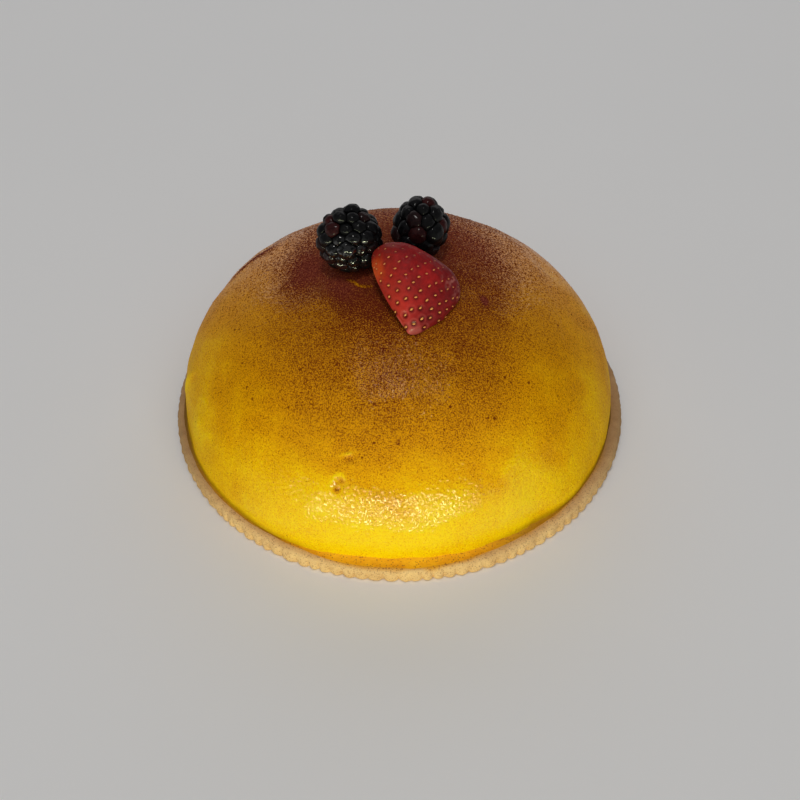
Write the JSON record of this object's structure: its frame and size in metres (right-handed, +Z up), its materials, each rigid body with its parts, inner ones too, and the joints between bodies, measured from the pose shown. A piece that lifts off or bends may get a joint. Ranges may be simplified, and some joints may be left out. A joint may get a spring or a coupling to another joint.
{
  "type": "bombe cake",
  "caption": "Dome-shaped glazed mousse cake on a thin fluted biscuit disc, dusted with dark powder and topped with brambles and a half strawberry.",
  "frame": {"origin": "middle of the biscuit's underside, on the surface that the cake stands on", "axes": "+Z up through the dome; +X to the right and -Y to the front, the side that the half strawberry's point faces"},
  "size_m": [0.1894, 0.1894, 0.1018],
  "materials": {
    "biscuit": "matte baked shortbread, pale and slightly pink, with fine crumb",
    "glaze": "wet yellow glaze dusted with dark wine-red powder",
    "powder": "dry dark wine-red powder",
    "bramble": "near-black drupelets, satin with wet highlights",
    "strawberry": "deep red fruit skin, soft sheen, with small golden seeds"
  },
  "bodies": {
    "root": {"biscuit_base": "biscuit", "mousse_dome": "glaze", "bramble_left": "bramble", "bramble_right": "bramble", "strawberry_half": "strawberry"}
  },
  "joints": []
}
